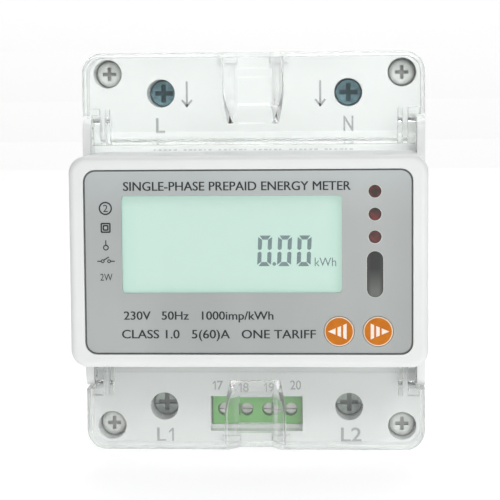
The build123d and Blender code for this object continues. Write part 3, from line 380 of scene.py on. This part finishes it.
def striped(name, base, stripe, axis, pitch, share, roughness, metallic=0.0, bump=0.00004):
    """Repeating bands along one axis: laminations, windings and printed sleeves."""
    shader = Shader(name)
    phase = shader.maths("FRACT", shader.maths("DIVIDE", shader.axis(axis), pitch))
    offset = shader.maths("ABSOLUTE", shader.maths("SUBTRACT", phase, 0.5))
    band = shader.span(offset, share / 2, share / 2 + 0.04)
    clouded = shader.mix(shader.maths("MULTIPLY", shader.noise(500, 3), 0.2), base, grey(0.02))
    shader.surface(
        Base_Color=shader.mix(band, stripe, clouded),
        Roughness=roughness,
        Metallic=metallic,
        Normal=shader.bump(band, bump),
    )
    return shader.material


def ink(name, colour, roughness=0.5):
    """Screen-printed ink with slightly uneven cover."""
    shader = Shader(name)
    cover = shader.noise(2400, 3, 0.6)
    light = tuple(min(1.0, value * 1.35 + 0.01) for value in colour[:3]) + (1.0,)
    shader.surface(Base_Color=shader.ramp(cover, colour, light, 0.45, 0.8), Roughness=roughness)
    return shader.material


WHITE = rgb(238, 240, 239)
FINISHES = {
    "white_casing": moulded("white_casing", WHITE, 0.36),
    "clear_cover": clear_plastic("clear_cover", (0.985, 0.995, 0.99, 1), 0.012, 0.000003, milk=0.6),
    "latch_plastic": moulded("latch_plastic", rgb(228, 230, 228), 0.45),
    "spring_steel": metal("spring_steel", grey(0.62), 0.22, (4000, 4000, 400)),
    # the case screws get painted shade in their driver slots
    "case_screw_steel": metal("case_screw_steel", rgb(230, 232, 229), 0.42, (1500, 200, 1500), tint=0.1,
                              metallic=0.4, recess_shade=(*CASE_SCREW, 0.00042, 0.0016, True)),
    "grey_panel": printed_panel(),
    "clear_window": clear_plastic("clear_window", (0.97, 0.995, 0.985, 1), 0.01),
    "display_glass": display_cell(),
    "light_guide": moulded("light_guide", rgb(222, 244, 234), 0.3),
    "display_frame": moulded("display_frame", rgb(226, 228, 226), 0.5),
    "black_plastic": moulded("black_plastic", rgb(34, 34, 36), 0.42, tint=0.2),
    "red_lens": lamp_lens(),
    "led_epoxy": moulded("led_epoxy", rgb(196, 62, 52), 0.15, grain=0.0, tint=0.2),
    "infrared_lens": infrared_lens(),
    "circuit_board": circuit_board(),
    "chip_epoxy": moulded("chip_epoxy", rgb(30, 30, 32), 0.55, grain=0.00001, tint=0.25),
    "lamination_steel": striped("lamination_steel", grey(0.34), grey(0.12), "Z", 0.0005, 0.25, 0.4, 0.9),
    "winding_tape": striped("winding_tape", rgb(222, 190, 70), rgb(196, 158, 44), "Y", 0.0042, 0.1, 0.3),
    "capacitor_sleeve": striped("capacitor_sleeve", rgb(28, 36, 74), rgb(200, 206, 214), "X", 0.0095, 0.16,
                                0.3, bump=0.0),
    "film_capacitor_box": moulded("film_capacitor_box", rgb(214, 178, 62), 0.3, tint=0.06),
    "varistor_coat": moulded("varistor_coat", rgb(40, 92, 170), 0.28, grain=0.00003, tint=0.15),
    "battery_sleeve": striped("battery_sleeve", rgb(86, 140, 92), rgb(226, 230, 224), "X", 0.026, 0.2, 0.32,
                              bump=0.0),
    "toroid_epoxy": striped("toroid_epoxy", rgb(62, 72, 84), rgb(40, 46, 56), "Z", 0.0009, 0.4, 0.4),
    "relay_plastic": moulded("relay_plastic", rgb(44, 48, 52), 0.45, tint=0.15),
    "relay_winding": striped("relay_winding", rgb(196, 112, 58), rgb(140, 70, 34), "Z", 0.0004, 0.4, 0.3,
                             0.8),
    "armature_steel": metal("armature_steel", grey(0.52), 0.35, (300, 300, 3000)),
    "tinned_copper": metal("tinned_copper", rgb(226, 176, 140), 0.3, (300, 3000, 300), tint=0.15),
    "cage_steel": metal("cage_steel", rgb(196, 200, 200), 0.32, (3000, 300, 300)),
    "green_block": moulded("green_block", rgb(130, 198, 116), 0.34, tint=0.1),
    "aux_screw_steel": metal("aux_screw_steel", rgb(216, 214, 212), 0.36, (1500, 200, 1500)),
    "cage_brass": metal("cage_brass", rgb(214, 190, 130), 0.3, (3000, 300, 300)),
}
INKS = {
    "panel_ink": ink("panel_ink", rgb(38, 42, 42)),
    "deck_print": ink("deck_print", rgb(166, 169, 168)),
    "faint_print": ink("faint_print", rgb(196, 199, 198)),
    "liquid_crystal": ink("liquid_crystal", rgb(92, 116, 118), 0.35),
    # painted shadow for the gap round the face panel
    "painted_gap_shadow": ink("painted_gap_shadow", rgb(78, 82, 80)),
    "pale_ring": ink("pale_ring", rgb(204, 207, 203)),
    "icon_ink": ink("icon_ink", rgb(252, 236, 220)),
}


def terminal_steel(node):
    """Blued mains terminal screw with painted shade in its driver slot. The outputs' screws are painted
    greyer than the inputs', standing in for the nose's shadow over the lower deck.
    """
    # painted shade: the outputs' screws, under the nose's shadow, get a greyer colour
    colour = rgb(174, 184, 178) if node.startswith("output") else rgb(140, 177, 187)
    middle = centre(node)
    return metal(f"terminal_steel_{node}", colour, 0.42, (1800, 300, 1800), tint=0.35,
                 recess_shade=(middle.x, middle.z, 0.00055, 0.0022))


def dress_nodes():
    """Gives every CAD node the finish of its material slot."""
    for part in frame["record"]["subparts"]:
        node = nodes[part["node"]]
        slot = part["material_slot"]
        if slot == "orange_button":
            finish = button_face(part["node"].split("_")[0])
        elif slot == "terminal_steel":
            finish = terminal_steel(part["node"])
        else:
            finish = FINISHES[slot]
        node.data.materials.clear()
        node.data.materials.append(finish)


# ---------------------------------------------------------------- printed and inlaid pieces
def add_piece(name, mesh, finish, body):
    """Links a finished mesh as one piece that rides on a body."""
    piece = bpy.data.objects.new(name, mesh)
    scene.collection.objects.link(piece)
    mesh.materials.clear()
    mesh.materials.append(finish)
    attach(piece, body)
    return piece


def front_plate(outlines, depth, thickness=FILM):
    """Mesh of flat shapes, each a list of (x, z) corners, standing on a front-facing surface."""
    shapes = bmesh.new()
    for outline in outlines:
        rings = []
        for y in (-depth, -depth - thickness):
            rings.append([shapes.verts.new((x, y, z)) for x, z in outline])
        back, face = rings
        shapes.faces.new(face)
        shapes.faces.new(list(reversed(back)))
        count = len(outline)
        for index in range(count):
            following = (index + 1) % count
            shapes.faces.new((face[following], face[index], back[index], back[following]))
    bmesh.ops.recalc_face_normals(shapes, faces=shapes.faces[:])
    mesh = bpy.data.meshes.new("front_plate")
    shapes.to_mesh(mesh)
    shapes.free()
    return mesh


def ring_mesh(outer, inner, depth, thickness=FILM):
    """Flat ring between two outlines with the same number of corners."""
    shapes = bmesh.new()
    count = len(outer)
    loops = []
    for y in (-depth, -depth - thickness):
        for outline in (outer, inner):
            loops.append([shapes.verts.new((x, y, z)) for x, z in outline])
    back_outer, back_inner, face_outer, face_inner = loops
    for index in range(count):
        following = (index + 1) % count
        for first, second in (
            (face_outer, face_inner),
            (face_inner, back_inner),
            (back_inner, back_outer),
            (back_outer, face_outer),
        ):
            shapes.faces.new((first[index], first[following], second[following], second[index]))
    bmesh.ops.recalc_face_normals(shapes, faces=shapes.faces[:])
    mesh = bpy.data.meshes.new("ring")
    shapes.to_mesh(mesh)
    shapes.free()
    return mesh


def arc_points(x, z, radius, start=0, end=360, steps=40, closed=True):
    """Points on a circle's arc, in degrees."""
    count = steps if closed else steps + 1
    angles = [math.radians(start + (end - start) * index / steps) for index in range(count)]
    return [(x + radius * math.cos(angle), z + radius * math.sin(angle)) for angle in angles]


def rounded_box(x, z, width, height, radius, steps=8):
    """Outline of a rectangle with round corners."""
    outline = []
    for corner, (side, end) in enumerate(((1, 1), (-1, 1), (-1, -1), (1, -1))):
        middle = (x + side * (width / 2 - radius), z + end * (height / 2 - radius))
        outline += arc_points(*middle, radius, corner * 90, corner * 90 + 90, steps, closed=False)
    return outline


def capsule(x, z, width, height, steps=14):
    """Outline of an upright slot with round ends."""
    radius = width / 2
    reach = height / 2 - radius
    top = arc_points(x, z + reach, radius, 0, 180, steps, closed=False)
    return top + arc_points(x, z - reach, radius, 180, 360, steps, closed=False)


def bar(start, end, width):
    """Outline of a straight stroke between two points."""
    along = Vector((end[0] - start[0], end[1] - start[1])).normalized()
    side = Vector((-along.y, along.x)) * width / 2
    corners = ((start, side), (end, side), (end, -side), (start, -side))
    return [(point[0] + shift.x, point[1] + shift.y) for point, shift in corners]


def scaled(outline):
    """Outline given in millimetres, in metres."""
    return [(x * MM, z * MM) for x, z in outline]


def lettering(name, text, x_span, z_span, depth, finish, weight=0.0, lift=1.0):
    """Printed characters that fill a width and a capital height, both given in millimetres."""
    curve = bpy.data.curves.new(name, "FONT")
    curve.body = text
    curve.offset = weight
    curve.resolution_u = 4
    curve.extrude = 0.01
    writing = bpy.data.objects.new(name + "_curve", curve)
    scene.collection.objects.link(writing)
    bpy.context.view_layer.update()
    mesh = bpy.data.meshes.new_from_object(writing.evaluated_get(bpy.context.evaluated_depsgraph_get()))
    bpy.data.objects.remove(writing)
    left = min(vertex.co.x for vertex in mesh.vertices)
    right = max(vertex.co.x for vertex in mesh.vertices)
    across = (x_span[1] - x_span[0]) * MM / (right - left)
    upward = (z_span[1] - z_span[0]) * MM / CAPITAL_HEIGHT
    for vertex in mesh.vertices:
        x, z, side = vertex.co
        height = 0 if side < 0 else FILM * lift
        vertex.co = (x_span[0] * MM + (x - left) * across, -depth - height, z_span[0] * MM + z * upward)
    letters = bmesh.new()
    letters.from_mesh(mesh)
    bmesh.ops.remove_doubles(letters, verts=letters.verts[:], dist=0.0000001)
    bmesh.ops.recalc_face_normals(letters, faces=letters.faces[:])
    letters.to_mesh(mesh)
    letters.free()
    return add_piece(name, mesh, finish, "meter")


def capital_height():
    """Height of a capital letter in the built-in font at size 1."""
    curve = bpy.data.curves.new("measure", "FONT")
    curve.body = "H"
    probe = bpy.data.objects.new("measure", curve)
    scene.collection.objects.link(probe)
    bpy.context.view_layer.update()
    height = probe.dimensions.y
    bpy.data.objects.remove(probe)
    return height


CAPITAL_HEIGHT = capital_height()


def panel_printing():
    """Title, rating rows, a ring of painted shadow along the panel's edge and the pale rings round the
    openings.
    """
    dark = INKS["panel_ink"]
    rows = (
        ("panel_title", "SINGLE-PHASE PREPAID ENERGY METER", (-26.3, 21.65), (15.2, 17.05)),
        ("panel_ratings", "230V   50Hz   1000imp/kWh", (-26.5, 5.25), (-12.2, -10.45)),
        ("panel_class", "CLASS 1.0   5(60)A   ONE TARIFF", (-26.95, 14.2), (-16.2, -14.4)),
        ("panel_wires", "2W", (-31.4, -28.8), (-3.85, -2.4)),
    )
    for name, text, x_span, z_span in rows:
        lettering(name, text, x_span, z_span, PANEL_FRONT, dark)
    # a second pass of ink, a hair to the right, makes the long rows bolder
    for name, text, x_span, z_span in rows[:3]:
        shifted = [x + SECOND_SHIFT for x in x_span]
        second = f"{name}_second_pass"
        lettering(second, text, shifted, z_span, PANEL_FRONT, dark, lift=SECOND_FILM)

    # a dark ring of painted shadow along the panel's edge stands in for the shade in the gap round the panel
    low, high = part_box("face_panel")
    width, height = high.x - low.x, high.z - low.z
    corner = 0.0025
    outer = rounded_box(0, 0, width - 0.00004, height - 0.00004, corner)
    inner = rounded_box(0, 0, width - 0.00052, height - 0.00052, corner - 0.00024)
    outline = ring_mesh(outer, inner, PANEL_FRONT)
    add_piece("panel_gap_shadow", outline, INKS["painted_gap_shadow"], "meter")

    for number, lamp in enumerate(lamp_places(), start=1):
        ring = ring_mesh(arc_points(*lamp, 0.00153), arc_points(*lamp, 0.00136), PANEL_FRONT)
        add_piece(f"lamp_ring_{number}", ring, INKS["pale_ring"], "meter")
    slot_middle = centre("ir_window")
    slot = (slot_middle.x, slot_middle.z)
    ring = ring_mesh(capsule(*slot, 0.0037, 0.01005), capsule(*slot, 0.00346, 0.00981), PANEL_FRONT)
    add_piece("infrared_ring", ring, INKS["pale_ring"], "meter")


def lamp_places():
    """(x, z) of the three indicator lamps, from the separate solids of the lens node."""
    heights = sorted({round(vertex.co.z, 5) for vertex in nodes["led_lenses"].data.vertices})
    groups = [[heights[0]]]
    for height in heights[1:]:
        if height - groups[-1][-1] > 0.001:
            groups.append([])
        groups[-1].append(height)
    x = centre("led_lenses").x
    return [(x, (group[0] + group[-1]) / 2) for group in reversed(groups)]


def circle_ring(x, z, outer, inner, steps):
    """Printed ring on the panel, in millimetres."""
    outlines = [scaled(arc_points(x, z, radius, steps=steps)) for radius in (outer, inner)]
    return ring_mesh(*outlines, PANEL_FRONT)


def symbols():
    """Column of generic symbols at the left of the display."""
    x = -30.12
    line = 0.31
    dark = INKS["panel_ink"]
    add_piece("symbol_circle", circle_ring(x, 11.5, 1.42, 1.42 - line, 40), dark, "meter")
    figure = (x - 0.5, x + 0.5)
    lettering("symbol_circle_figure", "2", figure, (10.75, 12.25), PANEL_FRONT, dark)
    for name, side, corner in (("outer", 2.15, 0.32), ("inner", 1.25, 0.26)):
        outer = scaled(rounded_box(x, 7.38, side, side, corner, 4))
        inner = scaled(rounded_box(x, 7.38, side - 2 * line, side - 2 * line, corner - 0.18, 4))
        add_piece(f"symbol_square_{name}", ring_mesh(outer, inner, PANEL_FRONT), dark, "meter")
    add_piece("symbol_pendulum_bob", circle_ring(x, 3.17, 0.62, 0.38, 24), dark, "meter")
    stem = front_plate([scaled(bar((x, 3.75), (x, 4.75), 0.22))], PANEL_FRONT)
    add_piece("symbol_pendulum_stem", stem, dark, "meter")
    z = 0.28
    strokes = [
        bar((x - 1.88, z), (x - 1.06, z), 0.22),
        bar((x + 0.98, z), (x + 1.88, z), 0.22),
        bar((x - 0.55, z + 0.18), (x + 0.62, z + 0.92), 0.22),
    ]
    add_piece("symbol_switch_lines", front_plate([scaled(stroke) for stroke in strokes], PANEL_FRONT), dark,
              "meter")
    for name, place in (("left", x - 0.72), ("right", x + 0.64)):
        contact = circle_ring(place, z, 0.4, 0.2, 20)
        add_piece(f"symbol_switch_{name}", contact, dark, "meter")


# ---------------------------------------------------------------- display
DIGIT_HEIGHT = 6.5
DIGIT_WIDTH = 2.95
SEGMENT = 0.86
SEGMENT_GAP = 0.1
DIGIT_SLANT = 0.045  # sideways shift per unit of height
DIGIT_BASE = -1.02
DIGIT_LEFTS = (1.83, 6.05, 10.21)


def segment_outlines():
    """The six outer bars that make a 0, in millimetres from its lower left corner."""
    width, height, thick, gap = DIGIT_WIDTH, DIGIT_HEIGHT, SEGMENT, SEGMENT_GAP
    half = height / 2
    bevel = thick * 0.95

    def upright(x_outer, x_inner, z_end, z_middle):
        tip = (x_outer + x_inner) / 2
        toward = math.copysign(1, z_middle - z_end)
        return [
            (x_outer, z_end + toward * (gap + 0.2)),
            (x_outer, z_middle - toward * 0.42),
            (tip, z_middle - toward * gap * 1.6),
            (x_inner, z_middle - toward * 0.42),
            (x_inner, z_end + toward * (bevel + gap)),
        ]

    def level(z_outer, z_inner):
        return [(gap + 0.2, z_outer), (width - gap - 0.2, z_outer), (width - bevel - gap, z_inner),
                (bevel + gap, z_inner)]

    return [
        level(height, height - thick),
        upright(width, width - thick, height, half),
        upright(width, width - thick, 0, half),
        level(0, thick),
        upright(0, thick, 0, half),
        upright(0, thick, height, half),
    ]


def display_figures():
    """Reading 0.00 with its unit, in slanted seven-segment figures."""
    crystal = INKS["liquid_crystal"]
    for place, left in enumerate(DIGIT_LEFTS, start=1):
        outlines = []
        for segment in segment_outlines():
            outline = [(left + x + DIGIT_SLANT * z, DIGIT_BASE + z) for x, z in segment]
            outlines.append(scaled(outline))
        figure = front_plate(outlines, GLASS_FRONT)
        add_piece(f"display_figure_{place}", figure, crystal, "meter")
    point = front_plate([scaled(arc_points(5.47, -0.56, 0.39, steps=20))], GLASS_FRONT)
    add_piece("display_point", point, crystal, "meter")
    lettering("display_unit", "kWh", (14.05, 18.6), (-1.05, 0.75), GLASS_FRONT, crystal)


# ---------------------------------------------------------------- button icons
def button_icons():
    """A triangle cut into a tip and two bars, pointing outwards on each button."""
    tip = 2.35  # mm from the button's middle to the point of the triangle
    slices = ((0.0, 1.6), (2.0, 2.75), (3.2, 3.92))  # mm behind the point
    slope = 0.43
    for side, sign in (("left", -1), ("right", 1)):
        middle = BUTTON_CENTRES[side] / MM
        outlines = []
        for near, far in slices:
            x_near, x_far = middle.x + sign * (tip - near), middle.x + sign * (tip - far)
            outline = [(x_far, middle.z + far * slope), (x_far, middle.z - far * slope)]
            if near:
                outline += [(x_near, middle.z - near * slope), (x_near, middle.z + near * slope)]
            else:
                outline.append((x_near, middle.z))
            outlines.append(scaled(outline))
        mesh = front_plate(outlines, BUTTON_FRONT)
        add_piece(f"{side}_button_icon", mesh, INKS["icon_ink"], f"{side}_button")


# ---------------------------------------------------------------- marks on the terminal decks
def deck_marks():
    """Terminal letters and numbers, and the arrows that show which way the current flows."""
    pale = INKS["deck_print"]
    labels = (
        ("mark_live", "L", (-22.2, -20.1), (26.7, 29.95)),
        ("mark_neutral", "N", (19.95, 22.15), (26.9, 30.2)),
        ("mark_output_1", "L", (-22.8, -20.75), (-43.6, -40.5)),
        ("mark_output_2", "L2", (19.15, 23.8), (-43.5, -40.4)),
        ("mark_17", "7", (-8.95, -7.6), (-31.7, -29.7)),
        ("mark_18", "8", (-3.05, -1.75), (-31.7, -29.7)),
        ("mark_19", "9", (2.75, 4.05), (-31.7, -29.7)),
        ("mark_20", "20", (7.7, 10.15), (-31.6, -29.6)),
    )
    for name, text, x_span, z_span in labels:
        lettering(name, text, x_span, z_span, DECK, pale, weight=0.012)
    ones = (("output_1", -18.95, -43.6, 3.1), ("17", -9.25, -31.7, 2.0), ("18", -3.35, -31.7, 2.0),
            ("19", 2.4, -31.7, 2.0))
    for name, right, low, height in ones:
        stroke = 0.13 * height
        outline = [
            (right, low), (right, low + height), (right - stroke, low + height),
            (right - 0.36 * height, low + 0.74 * height), (right - 0.36 * height, low + 0.62 * height),
            (right - stroke, low + 0.8 * height), (right - stroke, low),
        ]
        mesh = front_plate([scaled(outline)], DECK)
        add_piece(f"mark_{name}_figure_one", mesh, pale, "meter")
    for name, x in (("left", -15.15), ("right", 14.78)):
        strokes = [
            bar((x, 38.2), (x, 32.9), 0.46),
            bar((x - 1.12, 34.0), (x + 0.12, 32.5), 0.48),
            bar((x + 1.12, 34.0), (x - 0.12, 32.5), 0.48),
        ]
        mesh = front_plate([scaled(stroke) for stroke in strokes], DECK)
        add_piece(f"arrow_{name}", mesh, pale, "meter")


def hinge_ticks():
    """Rows of tiny dashes beside the nose under the top cover's hinge, in place of small print."""
    rows = (("near", 22.66, 0.3, -22.9, 22.4, 40), ("far", 24.85, 0.2, -23.5, -13.5, 8))
    for name, z, tall, x_from, x_to, count in rows:
        pitch = (x_to - x_from) / count
        outlines = []
        for index in range(count):
            if index % 7 == 5:
                continue
            x = x_from + pitch * index
            length = pitch * (0.42 + 0.08 * ((index * 7) % 5))
            dash = [(x, z), (x + length, z), (x + length + 0.1, z + tall), (x + 0.1, z + tall)]
            outlines.append(scaled(dash))
        ticks = front_plate(outlines, DECK)
        add_piece(f"hinge_ticks_{name}", ticks, INKS["faint_print"], "meter")


# ---------------------------------------------------------------- latch spring
def working_spring():
    """Stands for the CAD spring, with a mesh of its own."""
    source = nodes["latch_spring"]
    spring = bpy.data.objects.new("latch_spring_coil", source.data.copy())
    scene.collection.objects.link(spring)
    spring.data.materials.clear()
    spring.data.materials.append(FINISHES["spring_steel"])
    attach(spring, "meter")
    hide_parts("latch_spring")
    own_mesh(spring)


# ---------------------------------------------------------------- studio
SWEEP_HALF_WIDTH = 2.5
SWEEP_NEAR = -1.6  # where the paper ends in front of the meter
SWEEP_TURN = 1.1  # where it starts to curve up behind it
SWEEP_FAR = 1.6
SWEEP_TOP = 2.4
SWEEP_GLOW_HEIGHT = 0.7  # over which the paper's glow rises
LIGHTS = (  # name, place, size, watts
    ("key", (0.15, -0.95, 0.7), 0.7, 6.0),
    ("fill", (0.6, -1.0, -0.02), 0.6, 3.8),
    ("top", (0.0, 0.3, 1.0), 0.6, 3.4),
)
LIGHT_AIM = (0.0, -0.03, 0.0)


def paper_sweep():
    """Pale glowing paper that lies under the meter and curves up behind it."""
    floor_z = cad_box[0][2] - FLOOR_GAP
    radius = SWEEP_FAR - SWEEP_TURN
    curve = arc_points(SWEEP_TURN, radius, radius, -80, 0, 8, closed=False)
    sweep = bmesh.new()
    rows = []
    for y, z in [(SWEEP_NEAR, 0), (SWEEP_TURN, 0), *curve, (SWEEP_FAR, SWEEP_TOP)]:
        rows.append([sweep.verts.new((x, y, floor_z + z)) for x in (-SWEEP_HALF_WIDTH, SWEEP_HALF_WIDTH)])
    for first, second in zip(rows, rows[1:]):
        sweep.faces.new((first[0], first[1], second[1], second[0]))
    mesh = bpy.data.meshes.new("sweep")
    sweep.to_mesh(mesh)
    sweep.free()
    paper = bpy.data.objects.new("studio_sweep", mesh)
    scene.collection.objects.link(paper)
    shader = Shader("studio_paper")
    glow = shader.span(shader.axis("Z"), floor_z, floor_z + SWEEP_GLOW_HEIGHT, 0.64, 1.12)
    shader.surface(Base_Color=grey(0.55), Roughness=0.9, Emission_Color=grey(1.0), Emission_Strength=glow)
    mesh.materials.append(shader.material)


def light_tent():
    """Surroundings that are bright in front of the meter and dimmer at its sides and behind it."""
    world = bpy.data.worlds.new("light_tent")
    scene.world = world
    world.use_nodes = True
    tree = world.node_tree
    place = tree.nodes.new("ShaderNodeTexCoord").outputs["Generated"]
    split = tree.nodes.new("ShaderNodeSeparateXYZ")
    tree.links.new(place, split.inputs[0])
    ramp = tree.nodes.new("ShaderNodeMapRange")
    tree.links.new(split.outputs["Y"], ramp.inputs["Value"])
    for key, value in (("From Min", -0.9), ("From Max", 0.1), ("To Min", 1.0), ("To Max", 0.3)):
        ramp.inputs[key].default_value = value
    tree.links.new(ramp.outputs["Result"], tree.nodes["Background"].inputs["Strength"])


def lights():
    """Three soft square lights aimed at the meter."""
    for name, at, size, power in LIGHTS:
        lamp = bpy.data.lights.new(name, "AREA")
        lamp.size = size
        lamp.energy = power
        holder = bpy.data.objects.new(name, lamp)
        scene.collection.objects.link(holder)
        holder.location = at
        aim = Vector(LIGHT_AIM) - Vector(at)
        holder.rotation_euler = aim.to_track_quat("-Z", "Y").to_euler()


# ---------------------------------------------------------------- camera
CAMERA_AT = (0.024521, -0.455463, 0.037247)
CAMERA_TURNS = (("Z", 3.5447), ("X", -5.0896), ("Y", 0.4566))  # degrees of yaw, pitch and roll
LENS_MM = 133.31
SENSOR_MM = 36.0


def camera():
    """View from in front, a little to the right and above."""
    lens = bpy.data.cameras.new("camera")
    lens.lens = LENS_MM
    lens.sensor_width = SENSOR_MM
    lens.clip_start = 0.01
    holder = bpy.data.objects.new("camera", lens)
    scene.collection.objects.link(holder)
    placing = Matrix.Translation(CAMERA_AT)
    for axis, angle in CAMERA_TURNS:
        placing = placing @ Matrix.Rotation(math.radians(angle), 4, axis)
    facing_back = Matrix.Rotation(math.radians(90), 4, "X")
    holder.matrix_world = placing @ facing_back
    scene.camera = holder


dress_nodes()
panel_printing()
symbols()
display_figures()
button_icons()
deck_marks()
hinge_ticks()
working_spring()
paper_sweep()
light_tent()
lights()
camera()
scene.view_settings.view_transform = "Standard"
scene.cycles.max_bounces = 32
scene.cycles.transmission_bounces = 32
scene.cycles.transparent_max_bounces = 32
